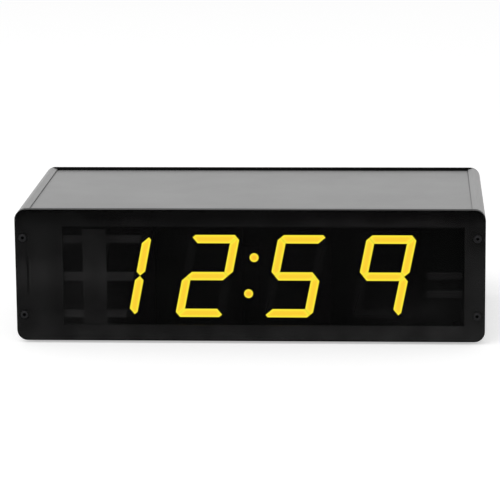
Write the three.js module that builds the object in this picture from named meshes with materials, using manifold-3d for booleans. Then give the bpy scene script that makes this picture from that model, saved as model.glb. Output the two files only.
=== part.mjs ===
import * as THREE from "three";
import { mergeVertices } from "three/addons/utils/BufferGeometryUtils.js";
import Module from "manifold-3d";

// A free-standing timecode display: an extruded case with a smoked window, four large seven-segment
// digits, a controller board and the connectors at the back. Lengths are in millimetres. X runs to the
// right as seen from the front, Y from front to back and Z up. The origin lies on the surface that the
// feet stand on, under the middle of the outline.

const wasm = await Module();
wasm.setup();

// Digits: the outer size of the seven segments, their stroke and how far they lean.
const digitHeight = 55.7;
const digitWidth = 32.75;
const strokeWidth = 5.45;
const cornerCut = 3;
const segmentGap = 0.5;
const segmentPlay = 0.1;
const slantShare = 0.2;
const digitCount = 4;

// Digit modules: the black housing round the segments, and the web that joins the segments behind.
const moduleSideMargin = 1.555;
const moduleEndMargin = 6.65;
const moduleDepth = 12;
const moduleSetback = 2.4;
const webThickness = 1.5;
const recessDepth = 2.2;
const recessSideWall = 1;
const recessEndWall = 2;

// Colon between the middle digits.
const colonWidth = 11.15;
const colonGap = 0.2;
const dotDiameter = 5.8;
const dotSpacing = 24.5;
const dotLean = 1.94;
const colonRise = 0.4;
const colonEndMargin = 5.1;

// Front: window, bezel and the margins between the outline, the window opening and the digits.
const windowThickness = 3;
const bezelThickness = 1.6;
const cornerRadius = 7;
const openingLeftMargin = 31.2;
const openingRightMargin = 13.7;
const openingTopMargin = 12.1;
const openingBottomMargin = 9.9;
const rimLeft = 13.9;
const rimRight = 29.7;
const rimTop = 6.32;
const rimBottom = 4.88;

// Mask plate left of the first digit.
const maskThickness = 1;
const maskLap = 3;
const pocketWidth = 13.1;
const bandWidth = 15.9;
const maskBarWidth = 5.9;
const maskEndBarWidth = 5.1;
const maskTopGap = 2;
const barEndGap = 1.4;

// Rails, covers and rear panel.
const railLength = 152.4;
const railFlange = 8.55;
const railWall = 2.5;
const railRib = 1.8;
const lipSlopeWidth = 4;
const lipSlopeDrop = 1.3;
const grooveDepth = 3.2;
const coverRecess = 2.14;
const coverThickness = 1.6;
const coverPlay = 0.2;
const coverEdgeGap = 0.3;
const rearPanelThickness = 1.6;
const bossRadius = 3.4;
const cardRibGap = 2;
const cardRibThickness = 1.8;
const cardRibReach = 4.9;

// Screws that hold the window, bezel and rear panel to the rails.
const screwInset = 5.29;
const screwLowerHeight = 17.7;
const screwUpperDrop = 19.06;
const screwRadius = 1.5;
const screwGrip = 6;
const threadPlay = 0.1;
const holePlay = 0.2;
const headRadius = 2.7;
const headHeight = 1.65;
const headRim = 0.5;
const socketRadius = 1.15;
const socketDepth = 1;

// Feet.
const footHeight = 4.8;
const footRadius = 6.4;
const footTaper = 0.7;
const footSideInset = 28;
const footEndInset = 22;

// Display board and its standoffs.
const boardThickness = 1.6;
const boardSideGap = 4;
const boardEndGap = 1.2;
const standoffRadius = 2.2;
const standoffPinRadius = 1.7;
const standoffPinPlay = 0.15;
const standoffCapRadius = 2.1;
const standoffCapHeight = 2.4;
const standoffSideInset = 6;
const standoffEndInset = 2.7;
const networkWidth = 23.5;
const networkHeight = 4.8;
const networkThickness = 2.5;
const networkInset = 12.9;
const networkDrop = 1.8;
const networkSpacing = 12.6;

// Controller board.
const cardFrontSetback = 24;
const cardRearGap = 1.2;
const cardPlay = 0.2;
const cardEdgeGap = 1.2;
const chipEndMargin = 1.29;
const chipWidth = 13.2;
const chipHeight = 3.8;
const chipStand = 0.6;
const chipPinCount = 14;
const chipPinPitch = 2.54;
const chipPinWidth = 0.6;
const chipPinReach = 1.1;
const chipFrontInset = 42;
const chipOffset = 18;
const notchRadius = 1.6;
const notchDepth = 0.6;
const regulatorWidth = 10;
const regulatorBodyHeight = 9;
const regulatorBodyThickness = 4.4;
const regulatorTabHeight = 6;
const regulatorTabThickness = 1.3;
const regulatorHoleRadius = 1.8;
const regulatorLegLength = 4;
const regulatorLegWidth = 1.1;
const regulatorLegPitch = 2.54;
const regulatorRearInset = 34;
const capacitorRadius = 5;
const capacitorHeight = 12;
const capacitorNeck = 0.5;
const capacitorNeckHeight = 1.6;
const capacitorOffset = 17;

// Headers, and the ribbon cable that joins the two boards.
const headerLength = 33;
const headerWidth = 8.8;
const headerHeight = 6.5;
const socketHeight = 7;
const socketInset = 0.6;
const headerOffset = 58;
const headerRise = 12;
const headerFrontInset = 26;
const ribbonWidth = 25.4;
const ribbonThickness = 1;
const ribbonBury = 1.5;
const ribbonForwardReach = 20;
const ribbonUpwardReach = 24;
const ribbonSteps = 16;

// Places of the pieces along the rear panel.
const firstJackInset = 59;
const jackSpacing = 28;
const switchSpacing = 38;
const dimmerSpacing = 40;
const powerSpacing = 82;

// Timecode jacks.
const jackBodyWidth = 14.5;
const jackBodyDepth = 14;
const jackBodyHeight = 14.5;
const bushingRadius = 6.2;
const bushingReach = 3.4;
const jackReach = 12;
const jackRadius = 4.85;
const jackBoreRadius = 4.05;
const jackBoreDepth = 8.2;
const lugRadius = 1;
const lugReach = 1.1;
const lugSetback = 3.2;
const contactBase = 1.8;
const contactRadius = 2.3;
const contactLength = 6.4;
const contactHoleRadius = 0.7;
const contactHoleDepth = 4;
const contactPlay = 0.1;
const jackNutFlats = 14.3;
const jackNutThickness = 2.3;

// Power jack.
const powerBodyWidth = 9.6;
const powerBodyDepth = 13;
const powerBodyHeight = 11;
const powerNoseRadius = 4.2;
const powerNoseReach = 0.3;
const powerBoreRadius = 3.1;
const powerBoreDepth = 9.4;
const powerPinRadius = 1;
const powerPinBase = 1;
const powerPinLength = 8.6;

// Dimmer.
const potBodyWidth = 12.6;
const potBodyDepth = 9;
const potBodyHeight = 13;
const potBushingRadius = 3.6;
const potBushingReach = 3.6;
const potNutFlats = 10;
const potNutThickness = 2;
const shaftRadius = 3;
const shaftPlay = 0.08;
const shaftEndGap = 0.3;
const shaftBury = 3;
const knobGap = 0.6;
const knobRadius = 6.4;
const knobFlute = 0.45;
const knobFlutes = 18;
const knobLength = 6.6;
const knobSkirtRadius = 7.2;
const knobSkirtHeight = 1.2;
const pointerWidth = 1.3;
const pointerRise = 0.5;

// Mode switch.
const switchWidth = 12.2;
const switchDepth = 7.8;
const switchHeight = 7;
const switchRecess = 0.2;
const switchPlay = 0.25;
const leverCount = 4;
const leverPitch = 2.54;
const leverSlotWidth = 1.4;
const leverSlotHeight = 3.5;
const leverSlotDepth = 1.8;
const leverHeight = 1.7;
const leverPlay = 0.1;
const leverReach = 0.9;

// Shared by all cuts and joins.
const overrun = 1;
const roundSides = 24;
const weldDistance = 0.0001;

// Sizes and places that follow from the ones above. Inside the case Y is 0 at the front of the window
// and Z is 0 at the bottom of the end panels.
const moduleWidth = digitWidth + slantShare * digitHeight + 2 * moduleSideMargin;
const moduleHeight = digitHeight + 2 * moduleEndMargin;
const digitPitch = moduleWidth + colonWidth + 2 * colonGap;
const rowWidth = digitPitch * (digitCount - 1) + moduleWidth;
const openingWidth = rimLeft + rowWidth + rimRight;
const openingHeight = rimBottom + digitHeight + rimTop;
const caseWidth = openingLeftMargin + openingWidth + openingRightMargin;
const caseHeight = openingBottomMargin + openingHeight + openingTopMargin;
const side = caseWidth / 2;
const openingLeft = openingLeftMargin - side;
const openingRight = side - openingRightMargin;
const openingBottom = openingBottomMargin;
const openingTop = caseHeight - openingTopMargin;
const firstDigitX = openingLeft + rimLeft + moduleWidth / 2;
const digitMiddle = openingBottom + rimBottom + digitHeight / 2;

const railFront = windowThickness + bezelThickness;
const railRear = railFront + railLength;
const caseDepth = railRear + rearPanelThickness;
const moduleFace = railFront + moduleSetback;
const boardFront = moduleFace + moduleDepth;
const boardBack = boardFront + boardThickness;
const screwX = side - screwInset;
const screwLower = screwLowerHeight;
const screwUpper = caseHeight - screwUpperDrop;
const screwLength = railFront + screwGrip;
const rearScrewLength = rearPanelThickness + screwGrip;

const coverInside = coverRecess + coverThickness;
const boardHalfWidth = side - railFlange - boardSideGap;
const boardBottom = coverInside + boardEndGap;
const boardTop = caseHeight - coverInside - boardEndGap;
const cardBottom = screwLower + bossRadius + cardRibGap + cardRibThickness;
const cardTop = cardBottom + boardThickness;
const cardHalfWidth = side - railWall - cardEdgeGap;
const cardFront = boardBack + cardFrontSetback;
const chipLength = chipPinPitch * (chipPinCount - 1) + 2 * chipEndMargin;
const cardRear = railRear - cardRearGap;

const timecodeInX = firstJackInset - side;
const loopOutX = timecodeInX + jackSpacing;
const modeSwitchX = loopOutX + switchSpacing;
const dimmerX = modeSwitchX + dimmerSpacing;
const powerJackX = dimmerX + powerSpacing;
const jackAxis = cardTop + jackBodyHeight / 2;
const potAxis = cardTop + potBodyHeight / 2;
const powerAxis = cardTop + powerBodyHeight / 2;
const switchBottom = cardTop;
const switchTop = switchBottom + switchHeight;

const blackGloss = { color: 0x0b0b0c, roughness: 0.12, metalness: 0 };
const blackSatin = { color: 0x141415, roughness: 0.5, metalness: 0 };
const satinGrey = { color: 0x9d9d9d, roughness: 0.42, metalness: 0.6 };
const steel = { color: 0xc4c6c8, roughness: 0.3, metalness: 1 };
const nickel = { color: 0xb9b5a8, roughness: 0.25, metalness: 1 };
const rubber = { color: 0x1a1a1a, roughness: 0.85, metalness: 0 };
const boardGreen = { color: 0x14351f, roughness: 0.5, metalness: 0 };
const maskGrey = { color: 0x4a4a4a, roughness: 0.7, metalness: 0 };
const whitePlastic = { color: 0xe6e4dc, roughness: 0.45, metalness: 0 };
const ribbonGrey = { color: 0x8e9093, roughness: 0.6, metalness: 0 };
const litYellow = { color: 0xfede36, roughness: 0.4, metalness: 0, emissive: 0xfede36, emissiveIntensity: 1 };

const part = new THREE.Group();
const housing = new THREE.Group();
const frontY = headHeight - (headHeight + caseDepth + jackReach) / 2;
housing.position.set(0, frontY, footHeight - coverRecess);
part.add(housing);

function place(name, geometry, look, x, y, z, turn = 0) {
  const mesh = new THREE.Mesh(geometry, new THREE.MeshStandardMaterial(look));
  mesh.name = name;
  mesh.position.set(x, y, z);
  mesh.rotation.z = turn;
  housing.add(mesh);
  return mesh;
}

// A box from its lowest to its highest corner.
function box([x0, y0, z0], [x1, y1, z1]) {
  const geometry = new THREE.BoxGeometry(x1 - x0, y1 - y0, z1 - z0);
  return geometry.translate((x0 + x1) / 2, (y0 + y1) / 2, (z0 + z1) / 2);
}

function circle(radius, x = 0, y = 0, sides = roundSides) {
  const points = [];
  for (let step = 0; step < sides; step += 1) {
    const angle = (2 * Math.PI * step) / sides;
    points.push([x + radius * Math.cos(angle), y + radius * Math.sin(angle)]);
  }
  return points;
}

function rectangle(x0, y0, x1, y1) {
  return [[x0, y0], [x1, y0], [x1, y1], [x0, y1]];
}

function toVectors(points) {
  return points.map(([x, y]) => new THREE.Vector2(x, y));
}

function extruded(outline, holes, depth) {
  const shape = new THREE.Shape(toVectors(outline));
  shape.holes = holes.map((hole) => new THREE.Path(toVectors(hole)));
  return new THREE.ExtrudeGeometry(shape, { depth, bevelEnabled: false });
}

// An outline in X and Z, made solid from Y = 0 to Y = depth.
function standing(outline, holes, depth) {
  return extruded(outline, holes, depth).rotateX(Math.PI / 2).translate(0, depth, 0);
}

// An outline in Y and Z, made solid along X and centred on it.
function crosswise(outline, width) {
  const along = new THREE.Matrix4().makeBasis(
    new THREE.Vector3(0, 1, 0),
    new THREE.Vector3(0, 0, 1),
    new THREE.Vector3(1, 0, 0),
  );
  return extruded(outline, [], width).applyMatrix4(along).translate(-width / 2, 0, 0);
}

// A profile of radius and Y, turned about the Y axis.
function turned(profile, sides = roundSides) {
  return new THREE.LatheGeometry(toVectors(profile), sides);
}

// A closed geometry as a solid that can be joined and cut.
function solid(geometry) {
  const bare = geometry.clone();
  bare.deleteAttribute("normal");
  bare.deleteAttribute("uv");
  const welded = mergeVertices(bare, weldDistance);
  const corners = welded.index.array;
  const triangles = [];
  for (let first = 0; first < corners.length; first += 3) {
    const [a, b, c] = corners.slice(first, first + 3);
    if (a !== b && b !== c && c !== a) {
      triangles.push(a, b, c);
    }
  }
  const vertProperties = new Float32Array(welded.attributes.position.array);
  return new wasm.Manifold(new wasm.Mesh({ numProp: 3, vertProperties, triVerts: new Uint32Array(triangles) }));
}

function surface(joined) {
  const { vertProperties, triVerts } = joined.getMesh();
  const geometry = new THREE.BufferGeometry();
  geometry.setAttribute("position", new THREE.BufferAttribute(vertProperties, 3));
  geometry.setIndex(new THREE.BufferAttribute(triVerts, 1));
  geometry.computeVertexNormals();
  return geometry;
}

// The first geometries joined, with the others cut away.
function shaped(joins, cuts = []) {
  let body = solid(joins[0]);
  for (const join of joins.slice(1)) {
    body = body.add(solid(join));
  }
  for (const cut of cuts) {
    body = body.subtract(solid(cut));
  }
  return surface(body);
}

// The outline that the window, the bezel, the rear panel and the rails share.
function panelOutline() {
  const points = [];
  const corners = [
    [side - cornerRadius, caseHeight - cornerRadius],
    [cornerRadius - side, caseHeight - cornerRadius],
    [cornerRadius - side, cornerRadius],
    [side - cornerRadius, cornerRadius],
  ];
  const quarter = roundSides / 4;
  corners.forEach(([x, z], corner) => {
    for (let step = 0; step <= quarter; step += 1) {
      const angle = (Math.PI / 2) * (corner + step / quarter);
      points.push([x + cornerRadius * Math.cos(angle), z + cornerRadius * Math.sin(angle)]);
    }
  });
  return points;
}

function screwPlaces() {
  return [[-screwX, screwUpper], [screwX, screwUpper], [-screwX, screwLower], [screwX, screwLower]];
}

function screwHoles() {
  return screwPlaces().map(([x, z]) => circle(screwRadius + holePlay, x, z));
}

// Inner face of the right-hand rail, from the bottom up: the groove for the cover, the lower screw
// boss, the two ribs that hold the controller board, the upper boss and the upper groove.
function railOutline() {
  const inner = side - railFlange;
  const grooveEnd = inner + grooveDepth;
  const wall = side - railWall;
  const ribEnd = wall - cardRibReach;
  const quarter = roundSides / 4;
  const outline = panelOutline();
  const points = [...outline.slice(0, quarter + 1).reverse(), ...outline.slice(-quarter - 1).reverse()];
  points.push([inner, 0], [inner, coverRecess], [grooveEnd, coverRecess]);
  points.push([grooveEnd, coverInside + coverPlay], [inner, coverInside + coverPlay]);
  points.push([inner, coverInside + coverPlay + railRib], [wall, coverInside + coverPlay + railRib]);
  points.push(...bossOutline(screwLower, wall));
  points.push([wall, cardBottom - cardRibThickness], [ribEnd, cardBottom - cardRibThickness]);
  points.push([ribEnd, cardBottom], [wall, cardBottom]);
  points.push([wall, cardTop + cardPlay], [ribEnd, cardTop + cardPlay]);
  points.push([ribEnd, cardTop + cardPlay + cardRibThickness], [wall, cardTop + cardPlay + cardRibThickness]);
  points.push(...bossOutline(screwUpper, wall));
  points.push([wall, caseHeight - coverInside - railRib], [inner, caseHeight - coverInside - railRib]);
  points.push([inner, caseHeight - coverInside], [grooveEnd, caseHeight - coverInside]);
  points.push([grooveEnd, caseHeight - coverRecess + coverPlay], [inner, caseHeight - coverRecess + coverPlay]);
  points.push([inner, caseHeight]);
  return points;
}

// A boss round a screw, carried by the wall.
function bossOutline(height, wall) {
  const points = [[wall, height - bossRadius]];
  const half = roundSides / 2;
  for (let step = 0; step <= half; step += 1) {
    const angle = Math.PI * (-1 / 2 - step / half);
    points.push([screwX + bossRadius * Math.cos(angle), height + bossRadius * Math.sin(angle)]);
  }
  points.push([wall, height + bossRadius]);
  return points;
}

// What is cut from the rail so that its top and bottom slope down to the covers.
function slopeCuts() {
  const inner = side - railFlange;
  const outside = caseHeight + overrun;
  const upper = [
    [inner - overrun, caseHeight - lipSlopeDrop],
    [inner, caseHeight - lipSlopeDrop],
    [inner + lipSlopeWidth, caseHeight],
    [inner + lipSlopeWidth, outside],
    [inner - overrun, outside],
  ];
  const lower = upper.map(([x, z]) => [x, caseHeight - z]).reverse();
  return [upper, lower].map((outline) => standing(outline, [], railLength + 2 * overrun).translate(0, -overrun, 0));
}

function addRails() {
  const bores = [screwLower, screwUpper].map((z) => circle(screwRadius + threadPlay, screwX, z));
  const right = shaped([standing(railOutline(), bores, railLength)], slopeCuts());
  place("side_rail_right", right, satinGrey, 0, railFront, 0);
  place("side_rail_left", right, satinGrey, 0, railRear, 0, Math.PI);
}

function addCovers() {
  const half = side - railFlange + grooveDepth - coverEdgeGap;
  const sheet = box([-half, 0, 0], [half, railLength, coverThickness]);
  place("top_cover", sheet, satinGrey, 0, railFront, caseHeight - coverInside);
  place("bottom_cover", sheet, satinGrey, 0, railFront, coverRecess);
}

function addFront() {
  const opening = rectangle(openingLeft, openingBottom, openingRight, openingTop);
  const pane = standing(panelOutline(), screwHoles(), windowThickness);
  const frame = standing(panelOutline(), [...screwHoles(), opening], bezelThickness);
  place("front_window", pane, blackGloss, 0, 0, 0);
  place("front_bezel", frame, blackSatin, 0, windowThickness, 0);
}

// Button-head screw with a hexagon socket. The head seats at Y = 0 and the shank runs towards +Y.
function screw(length) {
  const shoulder = headRadius - headRim;
  const body = turned([
    [0, length],
    [screwRadius, length],
    [screwRadius, 0],
    [headRadius, 0],
    [headRadius, -headRim],
    [(headRadius + shoulder) / 2, -(headHeight + headRim) / 2],
    [shoulder - headRim, -headHeight],
    [0, -headHeight],
  ].reverse());
  const socket = new THREE.CylinderGeometry(socketRadius, socketRadius, socketDepth + overrun, 6);
  socket.translate(0, -headHeight + (socketDepth - overrun) / 2, 0);
  return shaped([body], [socket]);
}

function addScrews() {
  const front = screw(screwLength);
  const rear = screw(rearScrewLength);
  screwPlaces().forEach(([x, z], index) => {
    place(`front_screw_${index + 1}`, front, steel, x, 0, z);
    place(`rear_screw_${index + 1}`, rear, steel, x, caseDepth, z, Math.PI);
  });
}

function addFeet() {
  const foot = turned([
    [0, -footHeight],
    [footRadius - footTaper, -footHeight],
    [footRadius, -footTaper],
    [footRadius, 0],
    [0, 0],
  ]).rotateX(Math.PI / 2);
  const x = side - footSideInset;
  const places = [[-x, footEndInset], [x, footEndInset], [-x, caseDepth - footEndInset], [x, caseDepth - footEndInset]];
  places.forEach(([footX, y], index) => {
    place(`foot_${index + 1}`, foot, rubber, footX, y, coverRecess);
  });
}

// Outlines of the segments a to g about the middle of a digit, before they lean.
function segmentOutlines() {
  const w = digitWidth / 2;
  const h = digitHeight / 2;
  const t = strokeWidth;
  const cut = cornerCut;
  const gap = segmentGap / Math.SQRT2;
  const top = [
    [w - t - gap, h - t],
    [w - cut / 2 - gap, h - cut / 2],
    [w - cut - gap, h],
    [cut + gap - w, h],
    [cut / 2 + gap - w, h - cut / 2],
    [t + gap - w, h - t],
  ];
  const upperRight = [
    [w - t, t / 2 + gap],
    [w - t / 2, gap],
    [w, t / 2 + gap],
    [w, h - cut - gap],
    [w - cut / 2, h - cut / 2 - gap],
    [w - t, h - t - gap],
  ];
  const middle = [
    [w - t / 2 - gap, 0],
    [w - t - gap, t / 2],
    [t + gap - w, t / 2],
    [t / 2 + gap - w, 0],
    [t + gap - w, -t / 2],
    [w - t - gap, -t / 2],
  ];
  const flipX = (points) => points.map(([x, z]) => [-x, z]).reverse();
  const flipZ = (points) => points.map(([x, z]) => [x, -z]).reverse();
  return [
    top,
    upperRight,
    flipZ(upperRight),
    flipZ(top),
    flipX(flipZ(upperRight)),
    flipX(upperRight),
    middle,
  ].map((points) => points.map(([x, z]) => [x + slantShare * z, z]));
}

// A convex outline, given anticlockwise, with every edge moved outwards.
function grown(points, distance) {
  const count = points.length;
  const edges = points.map(([x, z], index) => {
    const [nextX, nextZ] = points[(index + 1) % count];
    const length = Math.hypot(nextX - x, nextZ - z);
    const normal = [(nextZ - z) / length, (x - nextX) / length];
    return [...normal, normal[0] * x + normal[1] * z + distance];
  });
  return edges.map(([a, b, c], index) => {
    const [p, q, r] = edges[(index + count - 1) % count];
    const scale = a * q - b * p;
    return [(c * q - b * r) / scale, (a * r - c * p) / scale];
  });
}

// A housing round the given segments: deep cavities in front, one wide recess for the web behind.
// Without a side wall the recess is open at both sides.
function moduleHousing(halfWidth, halfHeight, cavities, sideWall) {
  const shoulder = moduleDepth - recessDepth;
  const front = standing(rectangle(-halfWidth, -halfHeight, halfWidth, halfHeight), cavities, shoulder);
  const bars = [
    rectangle(-halfWidth, -halfHeight, halfWidth, recessEndWall - halfHeight),
    rectangle(-halfWidth, halfHeight - recessEndWall, halfWidth, halfHeight),
  ];
  if (sideWall > 0) {
    bars.push(rectangle(-halfWidth, -halfHeight, sideWall - halfWidth, halfHeight));
    bars.push(rectangle(halfWidth - sideWall, -halfHeight, halfWidth, halfHeight));
  }
  return shaped([front, ...bars.map((bar) => standing(bar, [], recessDepth).translate(0, shoulder, 0))]);
}

// Segments or dots, joined by a web that lies in the recess against the board.
function lightMoulding(halfWidth, halfHeight, outlines, sideWall) {
  const webX = halfWidth - sideWall - 2 * segmentPlay;
  const webZ = halfHeight - recessEndWall - 2 * segmentPlay;
  const web = standing(rectangle(-webX, -webZ, webX, webZ), [], webThickness);
  web.translate(0, moduleDepth - webThickness, 0);
  const reach = moduleDepth - webThickness / 2 - segmentPlay;
  const columns = outlines.map((outline) => standing(outline, [], reach).translate(0, segmentPlay, 0));
  return shaped([web, ...columns]);
}

function addDigits() {
  const outlines = segmentOutlines();
  const cavities = outlines.map((points) => grown(points, segmentPlay));
  const casing = moduleHousing(moduleWidth / 2, moduleHeight / 2, cavities, recessSideWall);
  const moulding = lightMoulding(moduleWidth / 2, moduleHeight / 2, outlines, recessSideWall);
  for (let index = 0; index < digitCount; index += 1) {
    const x = firstDigitX + index * digitPitch;
    place(`digit_housing_${index + 1}`, casing, blackSatin, x, moduleFace, digitMiddle);
    place(`digit_segments_${index + 1}`, moulding, litYellow, x, moduleFace, digitMiddle);
  }
}

function addColon() {
  const halfHeight = dotSpacing / 2 + dotDiameter / 2 + colonEndMargin;
  const places = [[dotLean, dotSpacing / 2], [-dotLean, -dotSpacing / 2]];
  const dots = places.map(([x, z]) => circle(dotDiameter / 2, x, z));
  const cavities = places.map(([x, z]) => circle(dotDiameter / 2 + segmentPlay, x, z));
  const x = firstDigitX + digitPitch * (digitCount - 1) / 2;
  const z = digitMiddle + colonRise;
  const casing = moduleHousing(colonWidth / 2, halfHeight, cavities, 0);
  const moulding = lightMoulding(colonWidth / 2, halfHeight, dots, 0);
  place("colon_housing", casing, blackSatin, x, moduleFace, z);
  place("colon_dots", moulding, litYellow, x, moduleFace, z);
}

// A plate with three pockets and a notch, an upright band, and three bars that run on in front of the
// first digit's level strokes and end before its lit ones. The band ends below the window opening's top.
function addMask() {
  const low = openingBottom - maskLap;
  const high = openingTop + maskLap;
  const left = openingLeft - maskLap;
  const digitLow = digitMiddle - digitHeight / 2;
  const digitHigh = digitMiddle + digitHeight / 2;
  const pocketRows = [
    [openingBottom, digitLow],
    [digitLow + maskEndBarWidth, digitMiddle - maskBarWidth / 2],
    [digitMiddle + maskBarWidth / 2, digitHigh - maskEndBarWidth],
  ];
  const bars = [
    [digitLow, digitLow + maskEndBarWidth],
    [digitMiddle - maskBarWidth / 2, digitMiddle + maskBarWidth / 2],
    [digitHigh - maskEndBarWidth, digitHigh],
  ];
  const pocketEnd = openingLeft + pocketWidth;
  const bandEnd = pocketEnd + bandWidth;
  const barEnd = (z) => firstDigitX + digitWidth / 2 - strokeWidth - barEndGap + slantShare * (z - digitMiddle);
  const bandTop = openingTop - maskTopGap;
  const outline = [[left, low], [bandEnd, low]];
  for (const [bottom, top] of bars) {
    outline.push([bandEnd, bottom], [barEnd(bottom), bottom], [barEnd(top), top], [bandEnd, top]);
  }
  outline.push([bandEnd, bandTop], [pocketEnd, bandTop], [pocketEnd, digitHigh]);
  outline.push([openingLeft, digitHigh], [openingLeft, high], [left, high]);
  const pockets = pocketRows.map(([bottom, top]) => rectangle(openingLeft, bottom, pocketEnd, top));
  place("left_mask", standing(outline, pockets, maskThickness), maskGrey, 0, railFront, 0);
}

function standoffPlaces() {
  const x = boardHalfWidth - standoffSideInset;
  const low = boardBottom + standoffEndInset;
  const high = boardTop - standoffEndInset;
  return [[-x, high], [x, high], [-x, low], [x, low]];
}

function addDisplayBoard() {
  const outline = rectangle(-boardHalfWidth, boardBottom, boardHalfWidth, boardTop);
  const holes = standoffPlaces().map(([x, z]) => circle(standoffPinRadius + standoffPinPlay, x, z));
  place("display_board", standing(outline, holes, boardThickness), boardGreen, 0, boardFront, 0);
}

// Standoffs fixed to the back of the bezel, whose caps snap through the board.
function addStandoffs() {
  const post = boardFront - railFront;
  const cap = post + boardThickness;
  const standoff = turned([
    [0, 0],
    [standoffRadius, 0],
    [standoffRadius, post],
    [standoffPinRadius, post],
    [standoffPinRadius, cap],
    [standoffCapRadius, cap],
    [standoffPinRadius, cap + standoffCapHeight],
    [0, cap + standoffCapHeight],
  ]);
  standoffPlaces().forEach(([x, z], index) => {
    place(`display_standoff_${index + 1}`, standoff, steel, x, railFront, z);
  });
}

function addNetworks() {
  const x = openingRight - networkInset;
  const body = box(
    [-networkWidth / 2, -networkThickness, -networkHeight / 2],
    [networkWidth / 2, 0, networkHeight / 2],
  );
  for (let index = 0; index < 2; index += 1) {
    const z = digitMiddle - networkDrop - index * networkSpacing;
    place(`resistor_network_${index + 1}`, body, maskGrey, x, boardFront, z);
  }
}

function addControllerBoard() {
  const board = box([-cardHalfWidth, 0, 0], [cardHalfWidth, cardRear - cardFront, boardThickness]);
  place("controller_board", board, boardGreen, 0, cardFront, cardBottom);
}

// Chip body on two rows of pins, with a half-round notch at one end.
function addChip() {
  const body = box(
    [-chipLength / 2, -chipWidth / 2, chipStand],
    [chipLength / 2, chipWidth / 2, chipStand + chipHeight],
  );
  const pins = [];
  for (let index = 0; index < chipPinCount; index += 1) {
    const x = (index - (chipPinCount - 1) / 2) * chipPinPitch;
    for (const row of [-1, 1]) {
      const near = row * (chipWidth / 2 - chipPinWidth);
      const far = row * (chipWidth / 2 + chipPinReach);
      pins.push(box(
        [x - chipPinWidth / 2, Math.min(near, far), 0],
        [x + chipPinWidth / 2, Math.max(near, far), chipStand + chipHeight / 2],
      ));
    }
  }
  const notch = extruded(circle(notchRadius, -chipLength / 2, 0, roundSides / 2), [], notchDepth + overrun);
  notch.translate(0, 0, chipStand + chipHeight - notchDepth);
  const chip = shaped([body, ...pins], [notch]);
  place("controller_chip", chip, blackSatin, -chipOffset, cardFront + chipFrontInset, cardTop);
}

function addRegulator() {
  const half = regulatorWidth / 2;
  const top = regulatorLegLength + regulatorBodyHeight;
  const body = box([-half, 0, regulatorLegLength], [half, regulatorBodyThickness, top]);
  const tab = box([-half, 0, top - overrun], [half, regulatorTabThickness, top + regulatorTabHeight]);
  const legs = [-1, 0, 1].map((step) => {
    const x = step * regulatorLegPitch;
    const y = regulatorBodyThickness / 2;
    const reach = regulatorLegWidth / 2;
    return box([x - reach, y - reach, 0], [x + reach, y + reach, regulatorLegLength + overrun]);
  });
  const bore = circle(regulatorHoleRadius, 0, top + regulatorTabHeight / 2, roundSides / 2);
  const hole = standing(bore, [], regulatorTabThickness + 2 * overrun).translate(0, -overrun, 0);
  const regulator = shaped([body, tab, ...legs], [hole]);
  place("voltage_regulator", regulator, blackSatin, powerJackX, cardRear - regulatorRearInset, cardTop);
}

function addCapacitor() {
  const waist = capacitorRadius - capacitorNeck;
  const can = turned([
    [0, 0],
    [capacitorRadius, 0],
    [capacitorRadius, capacitorNeckHeight],
    [waist, capacitorNeckHeight + capacitorNeck],
    [capacitorRadius, capacitorNeckHeight + 2 * capacitorNeck],
    [capacitorRadius, capacitorHeight - capacitorNeck],
    [waist, capacitorHeight],
    [0, capacitorHeight],
  ]).rotateX(Math.PI / 2);
  const x = powerJackX + capacitorOffset;
  place("smoothing_capacitor", can, blackSatin, x, cardRear - regulatorRearInset, cardTop);
}

function headerPlaces() {
  return {
    display: [boardBack, digitMiddle + headerRise],
    controller: [cardFront + headerFrontInset, cardTop],
  };
}

function addHeaders() {
  const { display, controller } = headerPlaces();
  const half = headerLength / 2;
  const across = headerWidth / 2;
  const upright = box([-half, 0, -across], [half, headerHeight, across]);
  const flat = box([-half, -across, 0], [half, across, headerHeight]);
  place("display_header", upright, blackSatin, headerOffset, display[0], display[1]);
  place("controller_header", flat, blackSatin, headerOffset, controller[0], controller[1]);
}

// The cable leaves the display socket backwards, rises a little and comes down into the other socket.
function addRibbon() {
  const { display, controller } = headerPlaces();
  const start = [display[0] + headerHeight + socketHeight, display[1]];
  const end = [controller[0], controller[1] + headerHeight + socketHeight];
  const route = new THREE.CubicBezierCurve(
    ...toVectors([start, [start[0] + ribbonForwardReach, start[1]], [end[0], end[1] + ribbonUpwardReach], end]),
  );
  const near = [];
  const far = [];
  const addPoint = (point, tangent) => {
    const aside = new THREE.Vector2(-tangent.y, tangent.x).multiplyScalar(ribbonThickness / 2);
    near.push([point.x + aside.x, point.y + aside.y]);
    far.unshift([point.x - aside.x, point.y - aside.y]);
  };
  const first = route.getTangent(0);
  addPoint(route.getPoint(0).addScaledVector(first, -ribbonBury), first);
  for (let step = 0; step <= ribbonSteps; step += 1) {
    addPoint(route.getPoint(step / ribbonSteps), route.getTangent(step / ribbonSteps));
  }
  const last = route.getTangent(1);
  addPoint(route.getPoint(1).addScaledVector(last, ribbonBury), last);
  const cable = crosswise([...near, ...far], ribbonWidth);
  const half = headerLength / 2 - socketInset;
  const across = headerWidth / 2 - socketInset;
  const displaySocket = box(
    [-half, display[0] + headerHeight, display[1] - across],
    [half, start[0], display[1] + across],
  );
  const controllerSocket = box(
    [-half, controller[0] - across, controller[1] + headerHeight],
    [half, controller[0] + across, end[1]],
  );
  place("ribbon_cable", shaped([cable, displaySocket, controllerSocket]), ribbonGrey, headerOffset, 0, 0);
}

// Outline of a hexagon nut, with its flats facing up and down.
function hexagon(flats) {
  return circle(flats / Math.sqrt(3), 0, 0, 6);
}

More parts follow.
